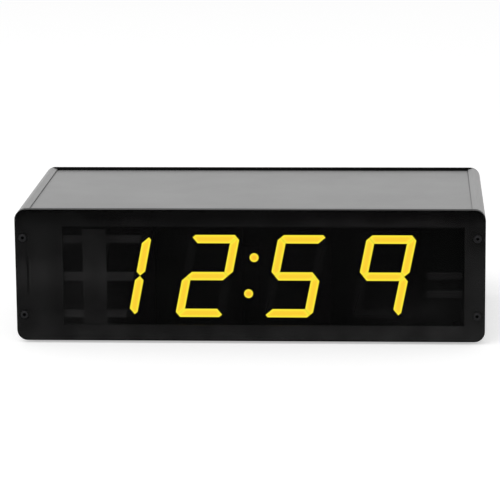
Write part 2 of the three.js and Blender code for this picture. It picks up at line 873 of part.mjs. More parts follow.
function addTimecodeJack(name, x) {
  const reach = rearPanelThickness + jackReach;
  const floor = reach - jackBoreDepth;
  const barrel = turned([
    [0, -overrun],
    [bushingRadius, -overrun],
    [bushingRadius, rearPanelThickness + bushingReach],
    [jackRadius, rearPanelThickness + bushingReach],
    [jackRadius, reach],
    [jackBoreRadius, reach],
    [jackBoreRadius, floor],
    [0, floor],
  ]);
  const block = box(
    [-jackBodyWidth / 2, -jackBodyDepth, -jackBodyHeight / 2],
    [jackBodyWidth / 2, 0, jackBodyHeight / 2],
  );
  const wall = jackRadius - jackBoreRadius;
  const lugs = [-1, 1].map((way) => {
    const lug = new THREE.CylinderGeometry(lugRadius, lugRadius, lugReach + wall / 2, roundSides / 2);
    lug.rotateZ(Math.PI / 2);
    return lug.translate(way * (jackRadius + (lugReach - wall / 2) / 2), reach - lugSetback, 0);
  });
  const contact = turned([
    [0, 0],
    [jackBoreRadius - contactPlay, 0],
    [jackBoreRadius - contactPlay, contactBase],
    [contactRadius, contactBase],
    [contactRadius, contactLength],
    [contactHoleRadius, contactLength],
    [contactHoleRadius, contactLength - contactHoleDepth],
    [0, contactLength - contactHoleDepth],
  ]);
  const nut = standing(hexagon(jackNutFlats), [circle(bushingRadius + threadPlay)], jackNutThickness);
  place(`${name}_jack`, shaped([block, barrel, ...lugs]), nickel, x, railRear, jackAxis);
  place(`${name}_contact`, contact, whitePlastic, x, railRear + floor, jackAxis);
  place(`${name}_nut`, nut, nickel, x, caseDepth, jackAxis);
}

function addPowerJack() {
  const reach = rearPanelThickness + powerNoseReach;
  const block = box(
    [-powerBodyWidth / 2, -powerBodyDepth, -powerBodyHeight / 2],
    [powerBodyWidth / 2, 0, powerBodyHeight / 2],
  );
  const nose = turned([[0, -overrun], [powerNoseRadius, -overrun], [powerNoseRadius, reach], [0, reach]]);
  const floor = reach - powerBoreDepth;
  const bore = turned([[0, floor], [powerBoreRadius, floor], [powerBoreRadius, reach + overrun], [0, reach + overrun]]);
  const pin = turned([
    [0, 0],
    [powerBoreRadius - contactPlay, 0],
    [powerBoreRadius - contactPlay, powerPinBase],
    [powerPinRadius, powerPinBase],
    [powerPinRadius, powerPinLength],
    [0, powerPinLength],
  ]);
  place("power_jack", shaped([block, nose], [bore]), blackSatin, powerJackX, railRear, powerAxis);
  place("power_jack_pin", pin, nickel, powerJackX, railRear + floor, powerAxis);
}

// Potentiometer on the board, nut outside the panel, and a fluted knob fixed to its shaft.
function addDimmer() {
  const bushingEnd = rearPanelThickness + potBushingReach;
  const block = box(
    [-potBodyWidth / 2, -potBodyDepth, -potBodyHeight / 2],
    [potBodyWidth / 2, 0, potBodyHeight / 2],
  );
  const bushing = turned([[0, -overrun], [potBushingRadius, -overrun], [potBushingRadius, bushingEnd], [0, bushingEnd]]);
  const boreRadius = shaftRadius + shaftPlay;
  const floor = -shaftBury - shaftEndGap;
  const bore = turned([[0, floor], [boreRadius, floor], [boreRadius, bushingEnd + overrun], [0, bushingEnd + overrun]]);
  const nut = standing(hexagon(potNutFlats), [circle(potBushingRadius + threadPlay)], potNutThickness);
  place("dimmer_body", shaped([block, bushing], [bore]), blackSatin, dimmerX, railRear, potAxis);
  place("dimmer_nut", nut, nickel, dimmerX, caseDepth, potAxis);

  const knobStart = bushingEnd + knobGap;
  const shaft = turned([[0, -shaftBury], [shaftRadius, -shaftBury], [shaftRadius, knobStart + overrun], [0, knobStart + overrun]]);
  const skirt = turned([
    [0, knobStart],
    [knobSkirtRadius, knobStart],
    [knobSkirtRadius, knobStart + knobSkirtHeight],
    [0, knobStart + knobSkirtHeight],
  ]);
  const flutes = [];
  for (let step = 0; step < 2 * knobFlutes; step += 1) {
    const radius = knobRadius - (step % 2) * knobFlute;
    const angle = (Math.PI * step) / knobFlutes;
    flutes.push([radius * Math.cos(angle), radius * Math.sin(angle)]);
  }
  const grip = standing(flutes, [], knobLength).translate(0, knobStart, 0);
  const pointer = box(
    [-pointerWidth / 2, knobStart + knobSkirtHeight, 0],
    [pointerWidth / 2, knobStart + knobLength + pointerRise, knobRadius + pointerRise],
  );
  place("dimmer_knob", shaped([skirt, grip, shaft, pointer]), blackSatin, dimmerX, railRear, potAxis);
}

function leverPlaces() {
  const places = [];
  for (let index = 0; index < leverCount; index += 1) {
    places.push(modeSwitchX + (index - (leverCount - 1) / 2) * leverPitch);
  }
  return places;
}

// Switch block in a cut-out of the rear panel. Each lever rests at the bottom of its slot.
function addModeSwitch() {
  const face = caseDepth - switchRecess;
  const slotBottom = (switchBottom + switchTop - leverSlotHeight) / 2;
  const block = box(
    [modeSwitchX - switchWidth / 2, face - switchDepth, switchBottom],
    [modeSwitchX + switchWidth / 2, face, switchTop],
  );
  const slots = leverPlaces().map((x) => box(
    [x - leverSlotWidth / 2, face - leverSlotDepth, slotBottom],
    [x + leverSlotWidth / 2, face + overrun, slotBottom + leverSlotHeight],
  ));
  place("mode_switch_body", shaped([block], slots), blackSatin, 0, 0, 0);
  const half = leverSlotWidth / 2 - leverPlay;
  const lever = box([-half, 0, 0], [half, leverSlotDepth - leverPlay + leverReach, leverHeight]);
  leverPlaces().forEach((x, index) => {
    const y = face - leverSlotDepth + leverPlay;
    place(`mode_switch_lever_${index + 1}`, lever, whitePlastic, x, y, slotBottom + leverPlay);
  });
}

function addRearPanel() {
  const holes = screwHoles();
  for (const x of [timecodeInX, loopOutX]) {
    holes.push(circle(bushingRadius + holePlay, x, jackAxis));
  }
  holes.push(circle(potBushingRadius + holePlay, dimmerX, potAxis));
  holes.push(circle(powerNoseRadius + holePlay, powerJackX, powerAxis));
  holes.push(rectangle(
    modeSwitchX - switchWidth / 2 - switchPlay,
    switchBottom - switchPlay,
    modeSwitchX + switchWidth / 2 + switchPlay,
    switchTop + switchPlay,
  ));
  place("rear_panel", standing(panelOutline(), holes, rearPanelThickness), blackSatin, 0, railRear, 0);
}

addRails();
addCovers();
addFront();
addScrews();
addFeet();
addDigits();
addColon();
addMask();
addDisplayBoard();
addStandoffs();
addNetworks();
addControllerBoard();
addChip();
addRegulator();
addCapacitor();
addHeaders();
addRibbon();
addTimecodeJack("timecode_in", timecodeInX);
addTimecodeJack("loop_out", loopOutX);
addPowerJack();
addDimmer();
addModeSwitch();
addRearPanel();

export default part;
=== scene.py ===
import functools
import math

import bmesh
import bpy
from mathutils import Matrix, Vector


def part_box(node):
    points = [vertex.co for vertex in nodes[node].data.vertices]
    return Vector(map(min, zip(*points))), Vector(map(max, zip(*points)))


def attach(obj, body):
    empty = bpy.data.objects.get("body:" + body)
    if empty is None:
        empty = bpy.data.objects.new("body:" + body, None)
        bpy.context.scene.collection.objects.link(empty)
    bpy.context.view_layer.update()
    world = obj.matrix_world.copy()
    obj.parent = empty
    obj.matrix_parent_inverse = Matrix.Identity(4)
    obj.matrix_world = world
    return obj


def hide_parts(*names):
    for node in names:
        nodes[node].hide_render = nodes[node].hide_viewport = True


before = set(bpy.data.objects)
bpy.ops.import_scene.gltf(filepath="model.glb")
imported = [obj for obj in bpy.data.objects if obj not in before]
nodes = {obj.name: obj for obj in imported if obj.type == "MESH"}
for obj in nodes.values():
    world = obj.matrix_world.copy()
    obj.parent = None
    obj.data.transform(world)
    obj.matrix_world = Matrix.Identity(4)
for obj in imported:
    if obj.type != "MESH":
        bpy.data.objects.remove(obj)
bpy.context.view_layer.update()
print("frame loaded with", len(nodes), "nodes")


@functools.cache
def nodeBox(name):  # lowest and highest corner of a CAD node
    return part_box(name)


# The camera stands in front of the display, a little to the right and above it.
cameraView = {
    "place": (0.104639, -1.812081, 0.430968),
    "yaw": -3.4481,  # degrees, negative to the left
    "pitch": 11.9528,  # degrees, downwards
    "roll": -0.5286,
    "lens": 193.014,
    "sensor": 36.0,
    "clip": (0.05, 100.0),
}


def addCamera():
    yaw, pitch, roll = (math.radians(cameraView[key]) for key in ("yaw", "pitch", "roll"))
    forward = Vector((math.sin(yaw) * math.cos(pitch), math.cos(yaw) * math.cos(pitch), -math.sin(pitch)))
    level = Vector((math.cos(yaw), -math.sin(yaw), 0))
    upright = level.cross(forward)
    right = math.cos(roll) * level + math.sin(roll) * upright
    up = math.cos(roll) * upright - math.sin(roll) * level
    data = bpy.data.cameras.new("camera")
    data.lens = cameraView["lens"]
    data.sensor_width = cameraView["sensor"]
    data.clip_start, data.clip_end = cameraView["clip"]
    camera = bpy.data.objects.new("camera", data)
    turned = Matrix((right, up, -forward)).transposed().to_4x4()
    camera.matrix_world = Matrix.Translation(cameraView["place"]) @ turned
    bpy.context.scene.collection.objects.link(camera)
    bpy.context.scene.camera = camera


class Socket:  # an output in a node tree, on which sums and products add Math nodes
    def __init__(self, tree, socket):
        self.tree = tree
        self.socket = socket

    def maths(self, operation, *values):
        return self.tree.node("ShaderNodeMath", {"operation": operation}, dict(enumerate(values)))

    def __add__(self, other):
        return self.maths("ADD", self, other)

    def __sub__(self, other):
        return self.maths("SUBTRACT", self, other)

    def __mul__(self, other):
        return self.maths("MULTIPLY", self, other)

    def __truediv__(self, other):
        return self.maths("DIVIDE", self, other)

    def __rsub__(self, other):
        return self.maths("SUBTRACT", other, self)

    def __abs__(self):
        return self.maths("ABSOLUTE", self)

    def below(self, limit):  # 1 where the value is under the limit
        return self.maths("LESS_THAN", self, limit)

    def atLeast(self, other):
        return self.maths("MAXIMUM", self, other)

    def folded(self, length):  # goes up and down between 0 and the length
        return self.maths("PINGPONG", self, length)

    __radd__ = __add__
    __rmul__ = __mul__


class NodeTree:  # a node tree of a material, the world or a modifier, while it is written
    def __init__(self, tree):
        self.tree = tree
        tree.nodes.clear()

    def node(self, kind, settings=None, sockets=None, output=0):
        made = self.tree.nodes.new(kind)
        for key, value in (settings or {}).items():
            if key == "stops":
                self.setStops(made.color_ramp, value)
            else:
                setattr(made, key, value)
        for key, value in (sockets or {}).items():
            if isinstance(value, Socket):
                self.tree.links.new(value.socket, made.inputs[key])
            else:
                made.inputs[key].default_value = value
        return Socket(self, made.outputs[output]) if len(made.outputs) else made

    def setStops(self, ramp, stops):
        while len(ramp.elements) < len(stops):
            ramp.elements.new(1)
        for element, (position, level) in zip(ramp.elements, stops):
            element.position = position
            element.color = grey(level)

    def along(self, axis):  # object coordinate in metres: 0 for X, 1 for Y, 2 for Z
        place = self.node("ShaderNodeTexCoord", output="Object")
        return self.node("ShaderNodeSeparateXYZ", {}, {0: place}, axis)

    def noise(self, scale, detail, stretch=(1, 1, 1)):
        place = self.node("ShaderNodeTexCoord", output="Object")
        place = self.node("ShaderNodeMapping", {}, {"Vector": place, "Scale": stretch})
        return self.node("ShaderNodeTexNoise", {}, {"Vector": place, "Scale": scale, "Detail": detail})

    def cloud(self, *noise):  # a noise of three times the contrast, about half on average
        return 3 * self.noise(*noise) - 1

    def mottling(self, strength, *noise):  # a factor, about 1 on average
        return 1 + strength * (2 * self.cloud(*noise) - 1)

    def ramp(self, value, stops):
        return self.node("ShaderNodeValToRGB", {"stops": stops}, {"Fac": value})

    def mixed(self, share, first, second):  # the sockets for colours go by number, as their names repeat
        return self.node("ShaderNodeMix", {"data_type": "RGBA"}, {0: share, 6: first, 7: second}, 2)

    def bump(self, height, distance, strength):
        sockets = {"Height": height, "Distance": distance, "Strength": strength}
        return self.node("ShaderNodeBump", {}, sockets)

    def finish(self, values):
        shader = self.node("ShaderNodeBsdfPrincipled", {}, values)
        self.node("ShaderNodeOutputMaterial", {}, {"Surface": shader})


def grey(level):
    return (level, level, level, 1)


def newMaterial(name):
    material = bpy.data.materials.new(name)
    material.use_nodes = True
    return material, NodeTree(material.node_tree)


# In the looks below, a noise is (scale, detail, stretch), where no stretch means an even one. "bump" is
# (height in metres, strength), and "change" is how much the grain adds to the roughness.

# Painted light by height over the front, given for its left and its right end and blended between them.
frontSpan = {"reach": 0.13, "wave": 0.05, "waves": (40, 3)}


def overFront(tree, ends):
    low, high = nodeBox("front_bezel")
    rise = (tree.along(2) - low.z) / (high.z - low.z)
    rise = rise + frontSpan["wave"] * (tree.cloud(*frontSpan["waves"]) - 0.5)
    side = (tree.along(0) + frontSpan["reach"]) / (2 * frontSpan["reach"])
    return tree.mixed(side, tree.ramp(rise, ends[0]), tree.ramp(rise, ends[1]))


# Smoked acrylic: the face lets a fifth of the light through, the back nearly all, and the edges and hole
# walls none. A painted reflection lies on both ends of the face.
smokeLook = {
    "face": {"opacity": 0.8, "roughness": 0.06, "change": 0.05, "grain": (24, 4)},
    "edge": {"opacity": 1.0, "roughness": 0.16, "change": 0.1, "grain": (900, 1, (1, 0.05, 1))},
    "back": {"opacity": 0.04, "roughness": 0.06, "change": 0.05, "grain": (28, 3)},
    "tint": 0.0013,
    "reflection": 0.02,
    "paintedReflectionStart": 0.075,
    "paintedReflectionFade": 0.03,
    "paintedReflection": (
        [(0.2, 0.0065), (0.44, 0.005), (0.65, 0.0038), (0.85, 0.0035), (0.93, 0.002), (0.97, 0.0005)],
        [(0.05, 0.0025), (0.16, 0.004), (0.23, 0.006), (0.3, 0.0035), (0.44, 0.0015), (0.6, 0.0004)],
    ),
    "mottle": 0.4,
    "mottles": (60, 3),
}


def smokedAcrylic(side):
    material, tree = newMaterial(f"smoked_acrylic_{side}")
    look = smokeLook
    own = look[side]
    colour = grey(look["tint"])
    if side == "face":
        # painted reflection: paler at both ends of the face, set by height over the front and mottled
        share = (abs(tree.along(0)) - look["paintedReflectionStart"]) / look["paintedReflectionFade"]
        paintedReflection = tree.mixed(share, colour, overFront(tree, look["paintedReflection"]))
        colour = tree.mottling(look["mottle"], *look["mottles"]) * paintedReflection
    tree.finish({
        "Base Color": colour,
        "Roughness": own["roughness"] + own["change"] * tree.noise(*own["grain"]),
        "Specular IOR Level": look["reflection"],
        "Alpha": own["opacity"],
    })
    return material


# Bezel paint: black, with painted light that shows through the smoke, palest along the bottom and at half
# height of the left end. A dark upright line near the left end is painted shade.
bezelLook = {
    "paintedGlow": (
        [
            (0.046, 0.056), (0.1, 0.036), (0.14, 0.032), (0.21, 0.018), (0.32, 0.025), (0.44, 0.055),
            (0.55, 0.062), (0.62, 0.042), (0.76, 0.034), (0.87, 0.02), (0.94, 0.008), (0.975, 0.005),
        ],
        [
            (0.046, 0.096), (0.09, 0.085), (0.23, 0.048), (0.44, 0.061), (0.62, 0.064), (0.71, 0.054),
            (0.88, 0.042), (0.92, 0.016), (0.975, 0.005),
        ],
    ),
    "mottle": 0.25,
    "mottles": (60, 4, (1, 1, 0.6)),
    "lineX": -0.1479,
    "lineWidth": 0.0014,
    "lineMiddle": 0.0465,
    "lineHeight": 0.024,
    "paintedShadeLevel": 0.005,
    "paintedShadeShare": 0.85,
    "reflection": 0.2,
    "roughness": 0.55,
    "change": 0.15,
    "grain": (1800, 2),
    "texture": (2600, 2),
    "bump": (0.00004, 0.5),
}


def bezelPaint():
    material, tree = newMaterial("bezel_paint")
    look = bezelLook
    # painted shade: a dark upright line near the left end
    line = abs(tree.along(0) - look["lineX"]).below(look["lineWidth"] / 2)
    line = line * abs(tree.along(2) - look["lineMiddle"]).below(look["lineHeight"] / 2)
    # painted light over the front, mottled in streaks
    shade = overFront(tree, look["paintedGlow"]) * tree.mottling(look["mottle"], *look["mottles"])
    tree.finish({
        "Base Color": tree.mixed(look["paintedShadeShare"] * line, shade, grey(look["paintedShadeLevel"])),
        "Roughness": look["roughness"] + look["change"] * tree.noise(*look["grain"]),
        "Specular IOR Level": look["reflection"],
        "Normal": tree.bump(tree.noise(*look["texture"]), *look["bump"]),
    })
    return material


# Satin grey aluminium. The rails have a grain that runs along the case. The covers get paler towards the
# back, which is painted light, and painted shade in the seams by the rails makes them darker there, more so
# towards the back.
satinLook = {
    "rail": {"level": 0.298, "grain": (900, 3, (1, 0.03, 1))},
    "cover": {"level": 0.274, "grain": (1400, 3)},
    # painted light: the cover paler towards the back
    "paintedPaling": 0.3,  # share per metre
    "seamWidth": 0.0006,
    "seamShade": 0.33,
    "seamSlope": 2.4,  # share per metre
    "metallic": 0.25,
    "reflection": 0.3,
    "mottle": 0.04,
    "cloud": 0.09,
    "clouds": (28, 4),
    "roughness": 0.46,
    "change": 0.12,
    "bump": (0.00003, 0.4),
}


def satinGrey(kind):
    material, tree = newMaterial(f"satin_{kind}")
    look = satinLook
    fine = tree.noise(*look[kind]["grain"])
    shade = look["mottle"] * (fine - 0.5) + look["cloud"] * (tree.cloud(*look["clouds"]) - 0.5)
    if kind == "cover":
        # painted shade along the seams by the rails, deeper towards the back
        seam = 1 - abs(tree.along(0)).below(nodeBox("side_rail_right")[0].x - look["seamWidth"])
        paintedLighting = seam * (look["seamShade"] + look["seamSlope"] * tree.along(1))
        shade = shade + look["paintedPaling"] * tree.along(1) - paintedLighting
    tree.finish({
        "Base Color": look[kind]["level"] * (1 + shade),
        "Metallic": look["metallic"],
        "Roughness": look["roughness"] + look["change"] * (fine - 0.5),
        "Specular IOR Level": look["reflection"],
        "Normal": tree.bump(fine, *look["bump"]),
    })
    return material


# Black anodised rear panel.
anodisedLook = {
    "levels": (0.002, 0.004),
    "clouds": (30, 2),
    "reflection": 0.06,
    "roughness": 0.42,
    "change": 0.16,
    "grain": (1500, 2, (0.15, 1, 1)),
    "bump": (0.00002, 0.4),
}


def blackAnodised():
    material, tree = newMaterial("black_anodised")
    look = anodisedLook
    fine = tree.noise(*look["grain"])
    tree.finish({
        "Base Color": tree.mixed(tree.noise(*look["clouds"]), *map(grey, look["levels"])),
        "Roughness": look["roughness"] + look["change"] * fine,
        "Specular IOR Level": look["reflection"],
        "Normal": tree.bump(fine, *look["bump"]),
    })
    return material


# Moulded plastics, and the dull tin of the networks' leads, which has the same even finish.
plasticLook = {
    "housing_black": {"level": 0.003, "roughness": 0.6, "reflection": 0.1},
    "moulded_black": {"level": 0.014, "roughness": 0.5, "reflection": 0.35},
    "moulded_grey": {"level": 0.044, "roughness": 0.55, "reflection": 0.2},
    "moulded_white": {"level": 0.72, "roughness": 0.42, "reflection": 0.35},
    "insulator_white": {"level": 0.62, "roughness": 0.4, "reflection": 0.35},
    "dull_tin": {"level": 0.17, "roughness": 0.42, "reflection": 0.5},
    "spread": 0.15,
    "clouds": (60, 2),
    "change": 0.12,
    "grain": (2200, 2),
    "bump": (0.00003, 0.5),
}


def mouldedPlastic(name):
    material, tree = newMaterial(name)
    look = plasticLook
    level, spread = look[name]["level"], look["spread"]
    fine = tree.noise(*look["grain"])
    tree.finish({
        "Base Color": tree.mixed(
            tree.noise(*look["clouds"]), grey((1 - spread) * level), grey((1 + spread) * level),
        ),
        "Roughness": look[name]["roughness"] + look["change"] * fine,
        "Specular IOR Level": look[name]["reflection"],
        "Normal": tree.bump(fine, *look["bump"]),
    })
    return material


# Plated metals, brighter where they are rubbed, and with painted shade down a socket, where "hollow" on the
# mesh is 1.
metalLook = {
    "screw_black_oxide": {"colour": (0.024, 0.024, 0.025), "roughness": 0.36},
    "nickel_plate": {"colour": (0.62, 0.59, 0.53), "roughness": 0.22},
    "tinned_steel": {"colour": (0.55, 0.56, 0.57), "roughness": 0.3},
    "dullShare": 0.72,
    "socketShadeLevel": 0.001,
    "rub": (420, 3),
    "change": 0.12,
    "texture": (3000, 1),
    "bump": (0.00001, 0.3),
}


def platedMetal(name):
    material, tree = newMaterial(name)
    look = metalLook
    hollow = tree.node("ShaderNodeAttribute", {"attribute_name": "hollow"}, output="Fac")
    rub = tree.noise(*look["rub"])
    bright = look[name]["colour"]
    dull = tuple(look["dullShare"] * part for part in bright)
    colour = tree.mixed(rub, (*dull, 1), (*bright, 1))
    tree.finish({
        # painted shade down the socket
        "Base Color": tree.mixed(hollow, colour, grey(look["socketShadeLevel"])),
        "Metallic": 1.0,
        "Roughness": look[name]["roughness"] + look["change"] * rub,
        "Normal": tree.bump(tree.noise(*look["texture"]), *look["bump"]),
    })
    return material


# Black rubber of the feet.
rubberLook = {
    "levels": (0.01, 0.02),
    "roughness": 0.8,
    "change": 0.15,
    "grain": (1600, 3),
    "bump": (0.00008, 0.6),
}


def blackRubber():
    material, tree = newMaterial("foot_rubber")
    look = rubberLook
    fine = tree.noise(*look["grain"])
    tree.finish({
        "Base Color": tree.mixed(fine, *map(grey, look["levels"])),
        "Roughness": look["roughness"] + look["change"] * fine,
        "Normal": tree.bump(fine, *look["bump"]),
    })
    return material


# Solder mask over straight copper tracks, which run one way in some patches and the other way in others.
# The black board is paler at its left end, which is painted light.
boardLook = {
    "black": {"mask": (0.003, 0.0045, 0.0035, 1), "copper": (0.005, 0.0085, 0.006, 1), "reflection": 0.2},
    "green": {"mask": (0.004, 0.03, 0.011, 1), "copper": (0.009, 0.062, 0.022, 1), "reflection": 0.4},
    "pitch": 0.00254,
    "laneWidth": 0.00038,
    "rungWidth": 0.0003,
    "patches": (55, 0),
    "laneFrom": 0.47,
    "rungUpTo": 0.42,
    "paintedPaleX": -0.105,
    "paintedPaleLevel": 0.022,
    "paintedPaleShare": 0.85,
    "roughness": 0.36,
    "change": 0.12,
    "grain": (700, 2),
    "bump": (0.00004, 0.5),
}


def circuitBoard(name, axis, tint):
    material, tree = newMaterial(name)
    look = boardLook
    own = look[tint]
    across, along = tree.along(0), tree.along(axis)
    patch = tree.noise(*look["patches"])
    lane = across.folded(look["pitch"] / 2).below(look["laneWidth"]) * (1 - patch.below(look["laneFrom"]))
    rung = along.folded(2 * look["pitch"]).below(look["rungWidth"]) * patch.below(look["rungUpTo"])
    track = lane.atLeast(rung)
    colour = tree.mixed(track, own["mask"], own["copper"])
    if tint == "black":
        # painted light: paler left of paintedPaleX
        paintedLighting = look["paintedPaleShare"] * across.below(look["paintedPaleX"])
        colour = tree.mixed(paintedLighting, colour, grey(look["paintedPaleLevel"]))
    tree.finish({
        "Base Color": colour,
        "Roughness": look["roughness"] + look["change"] * tree.noise(*look["grain"]),
        "Specular IOR Level": own["reflection"],
        "Normal": tree.bump(track, *look["bump"]),
    })
    return material


# Lit bars are paler at the rim and a little deeper in the middle; "glow" and "core" are on the mesh.
lightLook = {
    "rim": (1.0, 0.88, 0.045, 1),
    "core": (0.96, 0.53, 0.03, 1),
    "strength": 5.1,
    "body": ((0.10, 0.075, 0.01, 1), (0.13, 0.1, 0.015, 1)),
    "clouds": (900, 2),
    "roughness": 0.35,
    "change": 0.1,
    "grain": (1500, 2),
}


def litBar():
    material, tree = newMaterial("lit_bar")
    look = lightLook
    glow = tree.node("ShaderNodeAttribute", {"attribute_name": "glow"}, output="Fac")
    core = tree.node("ShaderNodeAttribute", {"attribute_name": "core"}, output="Fac")
    tree.finish({
        "Base Color": tree.mixed(tree.noise(*look["clouds"]), *look["body"]),
        "Roughness": look["roughness"] + look["change"] * tree.noise(*look["grain"]),
        "Emission Color": tree.mixed(glow, grey(0), tree.mixed(core, look["rim"], look["core"])),
        "Emission Strength": look["strength"],
    })
    return material


# Bars that are off: "levels" are those of their sides and their face.
offLook = {
    "levels": (0.003, 0.013),
    "reflection": 0.2,
    "roughness": 0.5,
    "change": 0.1,
    "grain": (1500, 2),
    "texture": (2400, 2),
    "bump": (0.00002, 0.4),
}


def darkBar():
    material, tree = newMaterial("dark_bar")
    look = offLook
    glow = tree.node("ShaderNodeAttribute", {"attribute_name": "glow"}, output="Fac")
    tree.finish({
        "Base Color": tree.mixed(glow, *map(grey, look["levels"])),
        "Roughness": look["roughness"] + look["change"] * tree.noise(*look["grain"]),
        "Specular IOR Level": look["reflection"],
        "Normal": tree.bump(tree.noise(*look["texture"]), *look["bump"]),
    })
    return material


# Mask paint, with the bezel's painted light, and paler still on the lowest bar at both sides of the upright
# band, which is painted light too.
maskLook = {
    "mottle": 0.35,
    "mottles": (60, 3),
    "paintedLighting": 1.2,
    "lowBarLightTop": 0.0229,
    "bandMiddle": -0.10335,
    "bandWidth": 0.0159,
    "reflection": 0.2,
    "roughness": 0.6,
    "change": 0.1,
    "texture": (2400, 2),
    "bump": (0.00003, 0.4),
}


def maskPaint():
    material, tree = newMaterial("mask_paint")
    look = maskLook
    aside = 1 - abs(tree.along(0) - look["bandMiddle"]).below(look["bandWidth"] / 2)
    # painted light: the lowest bar paler at both sides of the band
    paintedLighting = 1 + look["paintedLighting"] * aside * tree.along(2).below(look["lowBarLightTop"])
    mottle = tree.mottling(look["mottle"], *look["mottles"])
    tree.finish({
        "Base Color": paintedLighting * mottle * overFront(tree, bezelLook["paintedGlow"]),
        "Roughness": look["roughness"] + look["change"] * tree.cloud(*look["mottles"]),
        "Specular IOR Level": look["reflection"],
        "Normal": tree.bump(tree.noise(*look["texture"]), *look["bump"]),
    })
    return material


# Flat cable of grey strands, the first of them red, with painted shade in the grooves between them.
ribbonLook = {
    "strands": 20,
    "pitch": 0.00127,
    "level": 0.3,
    "grooveShadeLevel": 0.16,
    "grooveShare": 0.22,
    "first": (0.42, 0.02, 0.015, 1),
    "roughness": 0.45,
    "change": 0.1,
    "grain": (900, 2),
    "bump": (0.0002, 0.6),
}


def ribbonStrands():
    material, tree = newMaterial("ribbon_strands")
    look = ribbonLook
    low, high = nodeBox("ribbon_cable")
    across = tree.along(0) - ((low.x + high.x) / 2 - look["strands"] * look["pitch"] / 2)
    depth = across.folded(look["pitch"] / 2) / (look["pitch"] / 2)
    colour = tree.mixed(across.below(look["pitch"]), grey(look["level"]), look["first"])
    tree.finish({
        # painted shade in the grooves
        "Base Color": tree.mixed(depth.below(look["grooveShare"]), colour, grey(look["grooveShadeLevel"])),
        "Roughness": look["roughness"] + look["change"] * tree.noise(*look["grain"]),
        "Normal": tree.bump(depth, *look["bump"]),
    })
    return material


# Shrink sleeve of the capacitor, with a pale stripe down the side that faces the case's right.
sleeveLook = {
    "colour": (0.006, 0.012, 0.045, 1),
    "stripe": (0.45, 0.46, 0.48, 1),
    "stripeStart": 0.0042,
    "roughness": 0.32,
    "change": 0.1,
    "grain": (1800, 2),
    "bump": (0.00002, 0.4),
}


def sleevePlastic():
    material, tree = newMaterial("capacitor_sleeve")
    look = sleeveLook
    low, high = nodeBox("smoothing_capacitor")
    plain = (tree.along(0) - (low.x + high.x) / 2).below(look["stripeStart"])
    fine = tree.noise(*look["grain"])
    tree.finish({
        "Base Color": tree.mixed(plain, look["stripe"], look["colour"]),
        "Roughness": look["roughness"] + look["change"] * fine,
        "Normal": tree.bump(fine, *look["bump"]),
    })
    return material


addCamera()
smoke = [smokedAcrylic(side) for side in ("face", "edge", "back")]
bezel = bezelPaint()
paint = maskPaint()
coverGrey = satinGrey("cover")
railGrey = satinGrey("rail")
black = blackAnodised()
housingBlack = mouldedPlastic("housing_black")
mouldedBlack = mouldedPlastic("moulded_black")
mouldedGrey = mouldedPlastic("moulded_grey")
mouldedWhite = mouldedPlastic("moulded_white")
insulator = mouldedPlastic("insulator_white")
leadTin = mouldedPlastic("dull_tin")
screwSteel = platedMetal("screw_black_oxide")
nickel = platedMetal("nickel_plate")
tinned = platedMetal("tinned_steel")
rubber = blackRubber()
strands = ribbonStrands()
sleeve = sleevePlastic()
uprightBoard = circuitBoard("display_board_mask", 2, "black")
flatBoard = circuitBoard("controller_board_mask", 1, "green")
lit, dark = litBar(), darkBar()
print("materials made:", len(bpy.data.materials))


# What counts as the same place, as a flat face and as a sharp edge. Angles are in degrees.
meshRules = {
    "near": 1e-5,
    "joined": 1e-6,
    "flatAngle": 0.5,
    "edgeAngle": 35,
    "shadeAngle": 40,
    "bevelSteps": 2,
    "bevelProfile": 0.5,
    "flatArea": 0.0004,
}
near = meshRules["near"]


# A copy of a CAD node's surface: its loose triangles joined and its flat faces made whole.
def nodeSurface(node):
    surface = bmesh.new()
    surface.from_mesh(nodes[node].data)
    bmesh.ops.remove_doubles(surface, verts=surface.verts, dist=meshRules["joined"])
    bmesh.ops.dissolve_limit(
        surface, angle_limit=math.radians(meshRules["flatAngle"]), verts=surface.verts, edges=surface.edges,
    )
    return surface


def bevelEdges(surface, width):
    sharp = [
        edge for edge in surface.edges
        if len(edge.link_faces) == 2 and edge.calc_face_angle() > math.radians(meshRules["edgeAngle"])
    ]
    bmesh.ops.bevel(
        surface, geom=sharp, offset=width, offset_type="OFFSET", segments=meshRules["bevelSteps"],
        profile=meshRules["bevelProfile"], affect="EDGES", clamp_overlap=True,
    )


# Turns a surface into a finished piece that stands for its nodes. choose(face) gives a material's number.
# Large faces are flat ones and keep their own normal.
def addPiece(name, surface, materials, replaced, body="case", choose=None):
    for face in surface.faces:
        face.smooth = face.calc_area() < meshRules["flatArea"]
        if choose:
            face.material_index = choose(face)
    mesh = bpy.data.meshes.new(name)
    surface.to_mesh(mesh)
    surface.free()
    return addMesh(name, mesh, materials, replaced, body)


def addMesh(name, mesh, materials, replaced, body="case"):
    for layer in ("custom_normal", "sharp_face"):
        if layer in mesh.attributes:
            mesh.attributes.remove(mesh.attributes[layer])
    if not mesh.materials:
        for material in materials:
            mesh.materials.append(material)
    mesh.set_sharp_from_angle(angle=math.radians(meshRules["shadeAngle"]))
    piece = bpy.data.objects.new(name, mesh)
    bpy.context.scene.collection.objects.link(piece)
    evened = piece.modifiers.new("evened_normals", "WEIGHTED_NORMAL")
    evened.keep_sharp = True
    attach(piece, body)
    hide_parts(*replaced)
    return piece


def softened(name, node, bevel, materials, body="case", choose=None):
    surface = nodeSurface(node)
    bevelEdges(surface, bevel)
    return addPiece(name, surface, materials, [node], body, choose)


# Front: window, bezel and the mask plate behind its left end.
frontLook = {
    "windowBevel": 0.0003,
    "bezelBevel": 0.00015,
    "maskBevel": 0.0001,
    "backGap": 0.00002,
    "backReach": 0.0001,
}


